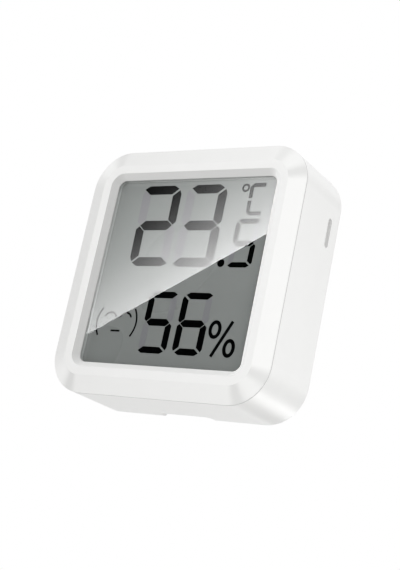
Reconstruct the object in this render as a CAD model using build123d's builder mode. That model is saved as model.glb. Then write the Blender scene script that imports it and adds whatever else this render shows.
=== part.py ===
from build123d import *
import os
from math import cos, pi, sin, sqrt

# A pocket-sized room temperature and humidity sensor that stands on a shelf.
# A chamfered front bezel frames a clear window over a reflective segment display,
# and a cup-shaped rear housing holds two AAA cells behind a swing-out battery door.
# X runs across the face to the right, Y from the face to the back, Z up from the base.

# Border round the opening in front of the display, counted outwards
window_corner_radius = 2.0
slope_width = 1.4
slope_depth = 1.4
rim_width = 2.1
chamfer_width = 4.0
chamfer_depth = 1.5

# Seam between bezel and housing
bezel_land = 0.15
seam_gap = 0.2
fit_clearance = 0.1

# Walls
wall = 2.0
rear_wall = 1.6
skirt_wall = 1.2
skirt_depth = 3.2

# Front to back: what lies behind the opening, layer by layer
lip_thickness = 0.3
tape_thickness = 0.1
panel_thickness = 0.8
panel_air = 0.05
polariser_thickness = 0.15
glass_thickness = 0.55
reflector_thickness = 0.2
frame_thickness = 0.9
board_thickness = 0.8
screw_head_height = 0.9
screw_head_air = 0.2
tray_floor = 0.6
cell_seat_air = 0.1
door_air = 0.6
door_thickness = 1.5

# AAA cells and the contacts at their ends
cell_radius = 5.15
cell_length = 44.5
cell_spacing = 0.7
cell_side_air = 0.25
contact_thickness = 0.4
dimple_height = 0.5
spring_length = 4.2

# Battery tray and its door, and the room that the case leaves beside and above the tray
tray_side_room = 1.8
tray_upper_room = 33.1
tray_wall = 1.2
tray_corner_radius = 0.7
door_corner_radius = 3.0
door_lap = 0.9
door_gap = 0.15

# Vent slot in the right wall, over the sensor
vent_length = 7.0
vent_width = 1.1
vent_drop = 16.15
vent_setback = 4.7

# Button in the back, over the switch on the board
button_radius = 2.6
button_drop = 17.3
button_travel = 0.3

# Room that every cut runs past the face it opens
overrun = 1.0

# Battery tray, worked out from the cells
tray_length = cell_length + spring_length + dimple_height + 2 * contact_thickness
tray_height = 4 * cell_radius + cell_spacing + 2 * cell_side_air
tray_bottom_z = wall + tray_wall
tray_top_z = tray_bottom_z + tray_height
tray_middle_z = tray_bottom_z + tray_height / 2
lower_cell_z = tray_bottom_z + cell_side_air + cell_radius
upper_cell_z = tray_top_z - cell_side_air - cell_radius
contact_x = tray_length / 2 - contact_thickness

# Outline of the case, from the tray outwards, and the opening, from the case inwards
border = slope_width + rim_width + chamfer_width
case_width = tray_length + 2 * (tray_wall + tray_side_room + wall)
case_height = tray_top_z + tray_wall + tray_upper_room + wall
case_corner_radius = window_corner_radius + border
window_width = case_width - 2 * border
window_height = case_height - 2 * border
middle_z = case_height / 2

# Depth of the case, from the layers in it
display_depth = (
    slope_depth + lip_thickness + tape_thickness + panel_thickness + panel_air
    + polariser_thickness + 2 * glass_thickness + reflector_thickness + frame_thickness
)
case_depth = (
    display_depth + board_thickness + screw_head_height + screw_head_air + tray_floor
    + cell_seat_air + 2 * cell_radius + door_air + door_thickness
)
front_y = -case_depth / 2
back_y = case_depth / 2
land_y = front_y + chamfer_depth
seam_y = land_y + bezel_land
housing_front_y = seam_y + seam_gap
tape_y = front_y + slope_depth + lip_thickness
panel_y = tape_y + tape_thickness
panel_rear_y = panel_y + panel_thickness
polariser_y = panel_rear_y + panel_air
front_glass_y = polariser_y + polariser_thickness
rear_glass_y = front_glass_y + glass_thickness
reflector_y = rear_glass_y + glass_thickness
frame_y = reflector_y + reflector_thickness
board_y = frame_y + frame_thickness
board_rear_y = board_y + board_thickness
tray_y = board_rear_y + screw_head_height + screw_head_air
tray_floor_y = tray_y + tray_floor
cell_y = tray_floor_y + cell_seat_air + cell_radius
rear_inner_y = back_y - rear_wall
door_inner_y = back_y - door_thickness

os.makedirs("parts", exist_ok=True)


def across(y):
    """Plane across the case at depth y. Its own y is height, and minus amounts go back."""
    return Plane(origin=(0, y, 0), x_dir=(1, 0, 0), z_dir=(0, -1, 0))


def outline(inset, mode=Mode.ADD):
    """Case outline drawn in by inset, in the sketch being made."""
    with Locations((0, middle_z)):
        RectangleRounded(
            case_width - 2 * inset,
            case_height - 2 * inset,
            case_corner_radius - inset,
            mode=mode,
        )


def span(left, right, bottom, top, mode=Mode.ADD):
    """Rectangle between four sides, in the sketch being made."""
    with Locations(((left + right) / 2, (bottom + top) / 2)):
        Rectangle(right - left, top - bottom, mode=mode)


# Snap hooks: eight wedges on the bezel's skirt, each in its own groove in the housing wall
hook_reach = 0.45
hook_root = 0.4
hook_half_height = 0.45
hook_length = 6.0
hook_spread = 13.0
hook_setback = 2.2
groove_clearance = 0.15
skirt_inset = wall + fit_clearance
skirt_inner_inset = skirt_inset + skirt_wall
hook_y = seam_y + hook_setback


def wedges(grow):
    """The eight wedges, two on each side of the skirt, grown all round by grow."""
    reach = hook_reach + grow
    half_height = hook_half_height + grow
    half_length = hook_length / 2 + grow
    with BuildPart() as row:
        for side in (-1, 1):
            face_x = side * (case_width / 2 - skirt_inset)
            face_z = middle_z + side * (case_height / 2 - skirt_inset)
            for place in (-hook_spread, hook_spread):
                with BuildSketch(Plane.XY.offset(middle_z + place)):
                    Polygon(
                        (face_x - side * hook_root, hook_y - half_height),
                        (face_x, hook_y - half_height),
                        (face_x + side * reach, hook_y),
                        (face_x, hook_y + half_height),
                        (face_x - side * hook_root, hook_y + half_height),
                        align=None,
                    )
                extrude(amount=half_length, both=True)
                with BuildSketch(Plane.YZ.offset(place)):
                    Polygon(
                        (hook_y - half_height, face_z - side * hook_root),
                        (hook_y - half_height, face_z),
                        (hook_y, face_z + side * reach),
                        (hook_y + half_height, face_z),
                        (hook_y + half_height, face_z - side * hook_root),
                        align=None,
                    )
                extrude(amount=half_length, both=True)
    return row.part


hook_wedges = wedges(0)
hook_grooves = wedges(groove_clearance)

# Sensor board: its place behind the vent slot, from the wall inwards
sensor_wall_air = 1.7
sensor_chip_height = 0.9
sensor_board_thickness = 0.8
sensor_board_margin = 0.35
sensor_board_half = vent_length / 2 + sensor_board_margin
sensor_face_x = case_width / 2 - wall - sensor_wall_air - sensor_chip_height
sensor_board_x = sensor_face_x - sensor_board_thickness
vent_y = back_y - vent_setback
vent_z = case_height - vent_drop

# Board screws and the bosses that take them, which grow out of the bezel's skirt. The upper
# pair clears the end of the sensor board, and the lower pair mirrors it.
screw_radius = 0.7
screw_head_radius = 1.4
screw_bite = 2.1
screw_clearance = 0.02
boss_radius = 1.5
boss_sensor_gap = 0.25
boss_spread = vent_z + sensor_board_half + boss_sensor_gap + screw_head_radius - middle_z
boss_x = case_width / 2 - skirt_inner_inset - boss_radius
boss_places = [
    (side * boss_x, middle_z + place) for side in (-1, 1) for place in (-boss_spread, boss_spread)
]

# Front bezel: a shallow chamfer all round, a flat rim, and a slope down to the opening.
# The window panel seats in a pocket behind the rim, and the skirt snaps into the housing.
rim_edge_radius = 0.3
panel_lap = 1.8
panel_inset = border - panel_lap

with BuildPart() as front_bezel:
    with BuildSketch(across(front_y)):
        outline(chamfer_width)
    with BuildSketch(across(land_y)):
        outline(0)
    loft(ruled=True)
    with BuildSketch(across(land_y)):
        outline(0)
    extrude(amount=-bezel_land)
    with BuildSketch(across(seam_y)):
        outline(skirt_inset)
    extrude(amount=-(panel_rear_y - seam_y))
    with BuildSketch(across(front_y)):
        outline(chamfer_width + rim_width)
    with BuildSketch(across(front_y + slope_depth)):
        outline(border)
    loft(ruled=True, mode=Mode.SUBTRACT)
    with BuildSketch(across(front_y + slope_depth)):
        outline(border)
    extrude(amount=-(slope_depth + lip_thickness), mode=Mode.SUBTRACT)
    with BuildSketch(across(tape_y)):
        outline(panel_inset - fit_clearance)
    extrude(amount=-(panel_rear_y - tape_y), mode=Mode.SUBTRACT)
    fillet(front_bezel.edges().filter_by_position(Axis.Y, front_y, front_y), rim_edge_radius)
    with BuildSketch(across(panel_rear_y)):
        outline(skirt_inset)
        outline(skirt_inner_inset, mode=Mode.SUBTRACT)
    extrude(amount=-(seam_y + skirt_depth - panel_rear_y))
    add(hook_wedges)
    with BuildSketch(across(panel_rear_y)):
        with Locations(*boss_places):
            Circle(boss_radius)
        with Locations((-boss_x - boss_radius / 2, middle_z), (boss_x + boss_radius / 2, middle_z)):
            with GridLocations(0, 2 * boss_spread, 1, 2):
                Rectangle(boss_radius, 2 * boss_radius)
    extrude(amount=-(board_y - panel_rear_y))
    with BuildSketch(across(board_y)):
        with Locations(*boss_places):
            Circle(screw_radius + screw_clearance)
    extrude(amount=screw_bite, mode=Mode.SUBTRACT)
front_bezel.part.label = "front_bezel"
export_step(front_bezel.part, "parts/front_bezel.step")

# Window panel: clear acrylic behind the rim, held by a ring of double-sided tape
tape_set_back = 0.2

with BuildPart() as display_window:
    with BuildSketch(across(panel_y)):
        outline(panel_inset)
    extrude(amount=-panel_thickness)
display_window.part.label = "display_window"
export_step(display_window.part, "parts/display_window.step")

with BuildPart() as window_tape:
    with BuildSketch(across(tape_y)):
        outline(panel_inset)
        outline(border - tape_set_back, mode=Mode.SUBTRACT)
    extrude(amount=-tape_thickness)
window_tape.part.label = "window_tape"
export_step(window_tape.part, "parts/window_tape.step")

# Display cell: two glass plates between a polariser and a reflector. The front plate is
# taller, and its two ledges carry the contacts for the rubber connector strips.
polariser_margin = 0.4
glass_margin = 0.9
glass_ledge = 2.0
polariser_width = window_width + 2 * polariser_margin
polariser_height = window_height + 2 * polariser_margin
glass_width = window_width + 2 * glass_margin
rear_glass_height = window_height + 2 * glass_margin
front_glass_height = rear_glass_height + 2 * glass_ledge

display_plates = {
    "lcd_front_polariser": (polariser_y, polariser_thickness, polariser_width, polariser_height),
    "lcd_front_glass": (front_glass_y, glass_thickness, glass_width, front_glass_height),
    "lcd_rear_glass": (rear_glass_y, glass_thickness, glass_width, rear_glass_height),
    "lcd_reflector": (reflector_y, reflector_thickness, polariser_width, polariser_height),
}

for plate_name, (plate_y, plate_thickness, plate_width, plate_height) in display_plates.items():
    with BuildPart() as display_plate:
        with BuildSketch(across(plate_y)):
            with Locations((0, middle_z)):
                Rectangle(plate_width, plate_height)
        extrude(amount=-plate_thickness)
    display_plate.part.label = plate_name
    export_step(display_plate.part, f"parts/{plate_name}.step")

# Connector strips: striped conductive rubber, pinched between the glass ledges and the board
strip_end_margin = 1.4
strip_length = glass_width - 2 * strip_end_margin
strip_margin = 0.2
strip_height = glass_ledge - 2 * strip_margin
strip_offset = rear_glass_height / 2 + glass_ledge / 2
strip_places = {
    "connector_strip_lower": middle_z - strip_offset,
    "connector_strip_upper": middle_z + strip_offset,
}

for strip_name, strip_z in strip_places.items():
    with BuildPart() as connector_strip:
        with BuildSketch(across(rear_glass_y)):
            with Locations((0, strip_z)):
                Rectangle(strip_length, strip_height)
        extrude(amount=-(board_y - rear_glass_y))
    connector_strip.part.label = strip_name
    export_step(connector_strip.part, f"parts/{strip_name}.step")

# Display frame: a flat plastic frame that spaces the glass off the board and guides the strips
board_clearance = 0.25
frame_corner_radius = 4.0
frame_bar = 5.0
frame_height = case_height - 2 * (skirt_inner_inset + board_clearance)
strip_clearance = 0.1

with BuildPart() as display_frame:
    with BuildSketch(across(frame_y)):
        with Locations((0, middle_z)):
            RectangleRounded(glass_width, frame_height, frame_corner_radius)
            Rectangle(
                glass_width - 2 * frame_bar, rear_glass_height - 2 * frame_bar, mode=Mode.SUBTRACT
            )
        with Locations(*[(0, strip_z) for strip_z in strip_places.values()]):
            Rectangle(
                strip_length + 2 * strip_clearance,
                strip_height + 2 * strip_clearance,
                mode=Mode.SUBTRACT,
            )
    extrude(amount=-frame_thickness)
display_frame.part.label = "display_frame"
export_step(display_frame.part, "parts/display_frame.step")

# Sensor board: stands on the main board behind the vent slot, with two tabs soldered into it.
# A milled slit keeps the warmth of the main board away from the sensor.
sensor_board_rear = 2.0
sensor_tab_width = 2.0
sensor_tab_spacing = 4.5
sensor_tab_clearance = 0.05
sensor_slit_width = 0.8
sensor_slit_length = 5.0
sensor_slit_distance = 2.4
sensor_board_rear_y = vent_y + sensor_board_rear

with BuildPart() as sensor_board:
    with BuildSketch(Plane.YZ.offset(sensor_board_x)):
        span(
            board_rear_y, sensor_board_rear_y, vent_z - sensor_board_half, vent_z + sensor_board_half
        )
        with Locations((vent_y - sensor_slit_distance, vent_z)):
            SlotOverall(sensor_slit_length, sensor_slit_width, rotation=90, mode=Mode.SUBTRACT)
        for place in (-sensor_tab_spacing / 2, sensor_tab_spacing / 2):
            tab_middle = vent_z + place
            span(
                board_y,
                board_rear_y,
                tab_middle - sensor_tab_width / 2,
                tab_middle + sensor_tab_width / 2,
            )
    extrude(amount=sensor_board_thickness)
sensor_board.part.label = "sensor_board"
export_step(sensor_board.part, "parts/sensor_board.step")

# Temperature and humidity sensor: a square package with a port in its lid
sensor_chip_side = 2.5
sensor_port_radius = 0.5
sensor_port_depth = 0.3

with BuildPart() as sensor_chip:
    with BuildSketch(Plane.YZ.offset(sensor_face_x)):
        with Locations((vent_y, vent_z)):
            Rectangle(sensor_chip_side, sensor_chip_side)
    extrude(amount=sensor_chip_height)
    with BuildSketch(Plane.YZ.offset(sensor_face_x + sensor_chip_height)):
        with Locations((vent_y, vent_z)):
            Circle(sensor_port_radius)
    extrude(amount=-sensor_port_depth, mode=Mode.SUBTRACT)
sensor_chip.part.label = "sensor_chip"
export_step(sensor_chip.part, "parts/sensor_chip.step")

# Main board, screwed to the bezel from behind, with slots for the sensor board's tabs
board_hole_radius = 0.85

with BuildPart() as main_board:
    with BuildSketch(across(board_y)):
        outline(skirt_inner_inset + board_clearance)
        with Locations(*boss_places):
            Circle(board_hole_radius, mode=Mode.SUBTRACT)
        for place in (-sensor_tab_spacing / 2, sensor_tab_spacing / 2):
            tab_middle = vent_z + place
            span(
                sensor_board_x - sensor_tab_clearance,
                sensor_face_x + sensor_tab_clearance,
                tab_middle - sensor_tab_width / 2 - sensor_tab_clearance,
                tab_middle + sensor_tab_width / 2 + sensor_tab_clearance,
                mode=Mode.SUBTRACT,
            )
    extrude(amount=-board_thickness)
main_board.part.label = "main_board"
export_step(main_board.part, "parts/main_board.step")

with BuildPart() as board_screws:
    with BuildSketch(across(board_rear_y)):
        with Locations(*boss_places):
            Circle(screw_head_radius)
    extrude(amount=-screw_head_height)
    chamfer(board_screws.edges().group_by(Axis.Y)[-1], screw_head_height / 2)
    with BuildSketch(across(board_rear_y)):
        with Locations(*boss_places):
            Circle(screw_radius)
    extrude(amount=board_thickness + screw_bite)
board_screws.part.label = "board_screws"
export_step(board_screws.part, "parts/board_screws.step")


def on_board(x, z):
    """Plane on the back of the main board at one place, facing away from the board."""
    return Plane(origin=(x, board_rear_y, z), x_dir=(1, 0, 0), z_dir=(0, 1, 0))


# Places on the board: the radio is in the upper left corner and the reservoir capacitor in
# the upper right. Small parts and the controller are halfway from the tray to these.
radio_width = 15.0
radio_height = 20.0
radio_side_gap = 3.7
radio_top_gap = 3.3
reservoir_radius = 3.1
reservoir_foot_width = 6.6
reservoir_top_gap = 6.7
chip_width = 7.0
chip_side_gap = 7.6
lead_reach = 1.0
tray_rim_z = tray_top_z + tray_wall
radio_x = radio_side_gap + skirt_inner_inset + (radio_width - case_width) / 2
radio_z = case_height - wall - radio_top_gap - radio_height / 2
chip_part_row_z = (tray_rim_z + radio_z - radio_height / 2) / 2
chip_x = sensor_board_x - chip_side_gap - chip_width / 2
reservoir_z = case_height - wall - reservoir_top_gap - reservoir_radius
chip_z = (tray_rim_z + reservoir_z - reservoir_foot_width / 2) / 2

# Controller: a flat square package with a row of bent leads along each side
chip_height = 1.2
chip_lift = 0.1
chip_corner = 0.5
lead_count = 8
lead_pitch = 0.8
lead_width = 0.3
lead_thickness = 0.15
lead_root = 0.3
lead_foot = 0.5
lead_height = chip_lift + chip_height / 2

with BuildPart() as lead_row:
    for index in range(lead_count):
        lead_y = (index - (lead_count - 1) / 2) * lead_pitch
        with BuildSketch(Plane.XZ.offset(-lead_y)):
            Polygon(
                (-lead_root, lead_height),
                (lead_reach - lead_foot, lead_height),
                (lead_reach - lead_foot + lead_thickness, lead_thickness),
                (lead_reach, lead_thickness),
                (lead_reach, 0),
                (lead_reach - lead_foot, 0),
                (lead_reach - lead_foot - lead_thickness, lead_height - lead_thickness),
                (-lead_root, lead_height - lead_thickness),
                align=None,
            )
        extrude(amount=lead_width / 2, both=True)

with BuildPart(on_board(chip_x, chip_z)) as controller_chip:
    with BuildSketch(on_board(chip_x, chip_z).offset(chip_lift)) as package:
        Rectangle(chip_width, chip_width)
        chamfer(package.vertices(), chip_corner)
    extrude(amount=chip_height)
    with PolarLocations(chip_width / 2, 4):
        add(lead_row.part)
controller_chip.part.label = "controller_chip"
export_step(controller_chip.part, "parts/controller_chip.step")

# Radio module: its own small board with notched solder pads, under a sheet-metal can
radio_thickness = 0.8
pad_radius = 0.4
pad_pitch = 2.0
pad_count = 8
can_width = 12.4
can_height = 12.8
can_depth = 1.8
can_sheet = 0.2
can_corner_radius = 0.6
can_drop = 2.6

with BuildPart() as radio_module:
    with BuildSketch(on_board(radio_x, radio_z)):
        Rectangle(radio_width, radio_height)
        with GridLocations(radio_width, pad_pitch, 2, pad_count):
            RegularPolygon(pad_radius, 6, mode=Mode.SUBTRACT)
    extrude(amount=radio_thickness)
radio_module.part.label = "radio_module"
export_step(radio_module.part, "parts/radio_module.step")

can_plane = on_board(radio_x, radio_z - can_drop).offset(radio_thickness)

with BuildPart() as radio_shield:
    with BuildSketch(can_plane):
        RectangleRounded(can_width, can_height, can_corner_radius)
    extrude(amount=can_depth)
    chamfer(radio_shield.edges().group_by(Axis.Y)[-1], can_sheet)
    with BuildSketch(can_plane):
        RectangleRounded(
            can_width - 2 * can_sheet, can_height - 2 * can_sheet, can_corner_radius - can_sheet
        )
    extrude(amount=can_depth - can_sheet, mode=Mode.SUBTRACT)
radio_shield.part.label = "radio_shield"
export_step(radio_shield.part, "parts/radio_shield.step")

# Clock crystal, a flat metal can on the board
crystal_width = 3.2
crystal_height = 2.5
crystal_depth = 0.8
crystal_corner_radius = 0.5
crystal_lid_edge = 0.2
crystal_chip_gap = 2.6
crystal_x = chip_x - chip_width / 2 - crystal_chip_gap - crystal_width / 2
crystal_z = chip_z

with BuildPart() as clock_crystal:
    with BuildSketch(on_board(crystal_x, crystal_z)):
        RectangleRounded(crystal_width, crystal_height, crystal_corner_radius)
    extrude(amount=crystal_depth)
    chamfer(clock_crystal.edges().group_by(Axis.Y)[-1], crystal_lid_edge)
clock_crystal.part.label = "clock_crystal"
export_step(clock_crystal.part, "parts/clock_crystal.step")

# Reservoir capacitor: an aluminium can with a crimped groove, on a square plastic foot
reservoir_foot_height = 0.6
reservoir_foot_corner = 1.0
reservoir_height = 5.4
groove_height = 1.2
groove_depth = 0.3
groove_half_width = 0.4
reservoir_edge = 0.4
reservoir_x = chip_x
reservoir_rear_y = board_rear_y + reservoir_height
reservoir_rim = reservoir_z + reservoir_radius
groove_y = board_rear_y + reservoir_foot_height + groove_height

with BuildPart() as reservoir_capacitor:
    with BuildSketch(on_board(reservoir_x, reservoir_z)) as foot:
        Rectangle(reservoir_foot_width, reservoir_foot_width)
        chamfer(foot.vertices().sort_by(Axis.X)[-2:], reservoir_foot_corner)
    extrude(amount=reservoir_foot_height)
    with BuildSketch(Plane.YZ.offset(reservoir_x)) as can_profile:
        Polygon(
            (board_rear_y, reservoir_z),
            (board_rear_y, reservoir_rim),
            (groove_y - groove_half_width, reservoir_rim),
            (groove_y, reservoir_rim - groove_depth),
            (groove_y + groove_half_width, reservoir_rim),
            (reservoir_rear_y, reservoir_rim),
            (reservoir_rear_y, reservoir_z),
            align=None,
        )
    revolve(axis=Axis((reservoir_x, board_rear_y, reservoir_z), (0, 1, 0)))
    chamfer(reservoir_capacitor.edges().group_by(Axis.Y)[-1], reservoir_edge)
reservoir_capacitor.part.label = "reservoir_capacitor"
export_step(reservoir_capacitor.part, "parts/reservoir_capacitor.step")

# Small ceramic capacitors and film resistors, in rows above the battery tray
chip_part_length = 1.6
chip_part_width = 0.8
capacitor_height = 0.8
resistor_height = 0.45
capacitor_pitch_x = 3.4
chip_part_spacing = 2.0
resistor_columns = 4
resistor_row_gap = 1.0
resistor_room_left = radio_x + radio_width / 2
resistor_room_right = chip_x - chip_width / 2 - lead_reach
resistor_room = resistor_room_right - resistor_room_left
resistor_pitch_x = (resistor_room - 2 * resistor_row_gap - chip_part_length) / (resistor_columns - 1)
resistors_x = (resistor_room_left + resistor_room_right) / 2

with BuildPart() as chip_capacitors:
    with BuildSketch(on_board(radio_x, chip_part_row_z)):
        with GridLocations(capacitor_pitch_x, chip_part_spacing, 3, 2):
            Rectangle(chip_part_length, chip_part_width)
    extrude(amount=capacitor_height)
chip_capacitors.part.label = "chip_capacitors"
export_step(chip_capacitors.part, "parts/chip_capacitors.step")

with BuildPart() as chip_resistors:
    with BuildSketch(on_board(resistors_x, chip_part_row_z)):
        with GridLocations(resistor_pitch_x, chip_part_spacing, resistor_columns, 2):
            Rectangle(chip_part_length, chip_part_width)
    extrude(amount=resistor_height)
chip_resistors.part.label = "chip_resistors"
export_step(chip_resistors.part, "parts/chip_resistors.step")

# Push switch on the board, its plunger, and the button in the back that presses it
switch_side = 6.0
switch_corner_radius = 0.5
switch_height = 3.3
plunger_radius = 1.7
plunger_fit = 0.05
plunger_stand = 0.9
plunger_depth = 1.2
plunger_room = 0.2
button_clearance = 0.15
button_sink = 0.2
button_edge = 0.3
flange_overlap = 0.9
flange_thickness = 0.8
flange_air = 0.1
stem_radius = 1.4
collar_wall = 1.0
collar_depth = 3.0
button_z = case_height - button_drop
switch_top_y = board_rear_y + switch_height
plunger_tip_y = switch_top_y + plunger_stand
button_face_y = back_y - button_sink
flange_y = rear_inner_y - flange_air
flange_radius = button_radius + button_clearance + flange_overlap
collar_radius = flange_radius + button_clearance
button_axis = Axis((0, board_rear_y, button_z), (0, 1, 0))

with BuildPart() as switch_body:
    with BuildSketch(on_board(0, button_z)):
        RectangleRounded(switch_side, switch_side, switch_corner_radius)
    extrude(amount=switch_height)
    with BuildSketch(across(switch_top_y)):
        with Locations((0, button_z)):
            Circle(plunger_radius + plunger_fit)
    extrude(amount=plunger_depth + button_travel + plunger_room, mode=Mode.SUBTRACT)
switch_body.part.label = "switch_body"
export_step(switch_body.part, "parts/switch_body.step")

with BuildPart() as switch_plunger:
    with BuildSketch(across(plunger_tip_y)):
        with Locations((0, button_z)):
            Circle(plunger_radius)
    extrude(amount=plunger_stand + plunger_depth)
switch_plunger.part.label = "switch_plunger"
export_step(switch_plunger.part, "parts/switch_plunger.step")

with BuildPart() as pair_button:
    with BuildSketch(Plane.YZ):
        Polygon(
            (plunger_tip_y, button_z),
            (plunger_tip_y, button_z + stem_radius),
            (flange_y - flange_thickness, button_z + stem_radius),
            (flange_y - flange_thickness, button_z + flange_radius),
            (flange_y, button_z + flange_radius),
            (flange_y, button_z + button_radius),
            (button_face_y, button_z + button_radius),
            (button_face_y, button_z),
            align=None,
        )
    revolve(axis=button_axis)
    chamfer(pair_button.edges().group_by(Axis.Y)[-1], button_edge)
pair_button.part.label = "pair_button"
export_step(pair_button.part, "parts/pair_button.step")

# Battery contacts: stamped plates in slots at both ends of the tray. The two on the right
# have tails through the tray floor to the board, and the bridge on the left joins the cells.
plate_half_height = 4.6
plate_depth = 8.4
plate_corner_radius = 0.8
plate_floor_gap = 0.1
dimple_base_radius = 2.2
dimple_tip_radius = 1.4
tail_width = 1.6
tail_drop = 1.2
plate_front_y = tray_floor_y + plate_floor_gap
plate_rear_y = plate_front_y + plate_depth
contact_plates = {
    "contact_bridge": (-1, lower_cell_z, upper_cell_z, [lower_cell_z], []),
    "contact_positive": (1, upper_cell_z, upper_cell_z, [upper_cell_z], [upper_cell_z - tail_drop]),
    "contact_negative": (1, lower_cell_z, lower_cell_z, [], [lower_cell_z - tail_drop]),
}

for contact_name, (side, first_z, last_z, dimples, tails) in contact_plates.items():
    with BuildPart() as contact:
        with BuildSketch(Plane.YZ.offset(side * contact_x)):
            with Locations(((plate_front_y + plate_rear_y) / 2, (first_z + last_z) / 2)):
                RectangleRounded(
                    plate_depth, last_z - first_z + 2 * plate_half_height, plate_corner_radius
                )
            for tail_z in tails:
                span(
                    board_rear_y,
                    plate_front_y + plate_corner_radius,
                    tail_z - tail_width / 2,
                    tail_z + tail_width / 2,
                )
        extrude(amount=side * contact_thickness)
        for dimple_z in dimples:
            with BuildSketch(Plane.YZ.offset(side * contact_x)):
                with Locations((cell_y, dimple_z)):
                    Circle(dimple_base_radius)
            with BuildSketch(Plane.YZ.offset(side * (contact_x - dimple_height))):
                with Locations((cell_y, dimple_z)):
                    Circle(dimple_tip_radius)
            loft()
    contact.part.label = contact_name
    export_step(contact.part, f"parts/{contact_name}.step")

# Conical contact springs: a straight leg out of the plate, a bend, and an open coil that
# narrows towards the flat end of the cell
wire_radius = 0.2
spring_base_radius = 3.3
spring_tip_radius = 2.0
spring_air = 0.05
leg_bend = 0.5
wire_sides = 6
quarter_turns = 10
leg_length = 2 * wire_radius
coil_start = leg_length + leg_bend
coil_end = spring_length - spring_air - wire_radius
coil_angle = quarter_turns * pi / 2


def coil_point(side, axis_z, share):
    """Place and direction on the coil, share of the way from the plate to its tip."""
    angle = share * coil_angle
    radius = spring_base_radius + (spring_tip_radius - spring_base_radius) * share
    reach = coil_start + (coil_end - coil_start) * share
    place = Vector(
        side * (contact_x - reach), cell_y + radius * cos(angle), axis_z + radius * sin(angle)
    )
    radius_rate = (spring_tip_radius - spring_base_radius) / coil_angle
    reach_rate = (coil_end - coil_start) / coil_angle
    direction = Vector(
        -side * reach_rate,
        radius_rate * cos(angle) - radius * sin(angle),
        radius_rate * sin(angle) + radius * cos(angle),
    )
    return place, direction.normalized()


def biarc(start, start_direction, end, end_direction):
    """Two tangent arcs from start to end, in the line being made."""
    chord = end - start
    both = start_direction + end_direction
    twist = 2 * (1 - start_direction.dot(end_direction))
    along = chord.dot(both)
    handle = (sqrt(along**2 + twist * chord.dot(chord)) - along) / twist
    first_corner = start + start_direction * handle
    second_corner = end - end_direction * handle
    joint = (first_corner + second_corner) / 2
    TangentArc(start, joint, tangent=start_direction)
    TangentArc(joint, end, tangent=(second_corner - first_corner).normalized())


def least_gap(path, turns):
    """Least distance between the wire's own turns, measured on points along its path."""
    samples_per_turn = 32
    count = int(turns * samples_per_turn)
    points = [path.position_at(index / count) for index in range(count + 1)]
    apart = samples_per_turn // 2
    least = min(
        (first - second).length
        for number, first in enumerate(points)
        for second in points[number + apart:]
    )
    return least - 2 * wire_radius


spring_places = {"spring_lower": (1, lower_cell_z), "spring_upper": (-1, upper_cell_z)}

for spring_name, (side, spring_z) in spring_places.items():
    with BuildPart() as spring:
        inwards = Vector(-side, 0, 0)
        stations = [
            coil_point(side, spring_z, index / quarter_turns) for index in range(quarter_turns + 1)
        ]
        first_place, first_direction = stations[0]
        last_place, last_direction = stations[-1]
        sideways = (first_direction - inwards * first_direction.dot(inwards)).normalized()
        bend_start = first_place - inwards * leg_bend - sideways * leg_bend
        leg_start = bend_start - inwards * leg_length
        with BuildLine() as coil:
            Line(leg_start, bend_start)
            biarc(bend_start, inwards, first_place, first_direction)
            for (start, start_way), (end, end_way) in zip(stations, stations[1:]):
                biarc(start, start_way, end, end_way)
            Line(last_place, last_place + last_direction * leg_length)
        with BuildSketch(Plane(origin=leg_start, z_dir=inwards)):
            RegularPolygon(wire_radius, wire_sides)
        sweep()
    print(spring_name, "least gap", round(least_gap(coil.wires()[0], quarter_turns / 4), 3), "mm")
    spring.part.label = spring_name
    export_step(spring.part, f"parts/{spring_name}.step")

# AAA cells, side by side and turned opposite ways
nub_radius = 1.9
nub_height = 0.8
cell_edge = 0.4
cell_places = {"cell_lower": (-1, lower_cell_z), "cell_upper": (1, upper_cell_z)}

for cell_name, (side, cell_z) in cell_places.items():
    nub_x = side * (contact_x - dimple_height)
    shoulder_x = nub_x - side * nub_height
    flat_x = nub_x - side * cell_length
    with BuildPart() as cell:
        with BuildSketch(Plane.XY.offset(cell_z)):
            Polygon(
                (flat_x, cell_y),
                (flat_x, cell_y + cell_radius),
                (shoulder_x, cell_y + cell_radius),
                (shoulder_x, cell_y + nub_radius),
                (nub_x, cell_y + nub_radius),
                (nub_x, cell_y),
                align=None,
            )
        revolve(axis=Axis((flat_x, cell_y, cell_z), (1, 0, 0)))
        chamfer(cell.edges().filter_by(GeomType.CIRCLE).sort_by(SortBy.RADIUS)[-2:], cell_edge)
    cell.part.label = cell_name
    export_step(cell.part, f"parts/{cell_name}.step")

# Tabs on the door's top edge, which hook in behind the rear wall, and their pockets
tab_width = 6.0
tab_spread = 15.0
tab_rise = 1.5
tab_drop = 2.0
tab_thickness = 0.9
tab_air = 0.15
pocket_side_air = 0.3
pocket_depth = 1.8
door_bottom_z = tray_bottom_z - door_lap
door_top_z = tray_top_z + door_lap
tab_outer_y = door_inner_y - tab_air
tab_inner_y = tab_outer_y - tab_thickness

# Nail notch in the base, and the tongue of the door that shows in it
notch_width = 14.4
notch_reach = 3.3
notch_corner_radius = 1.6
tongue_side_air = 0.6
tongue_rise = 0.9
tongue_corner_radius = 1.2

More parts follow.
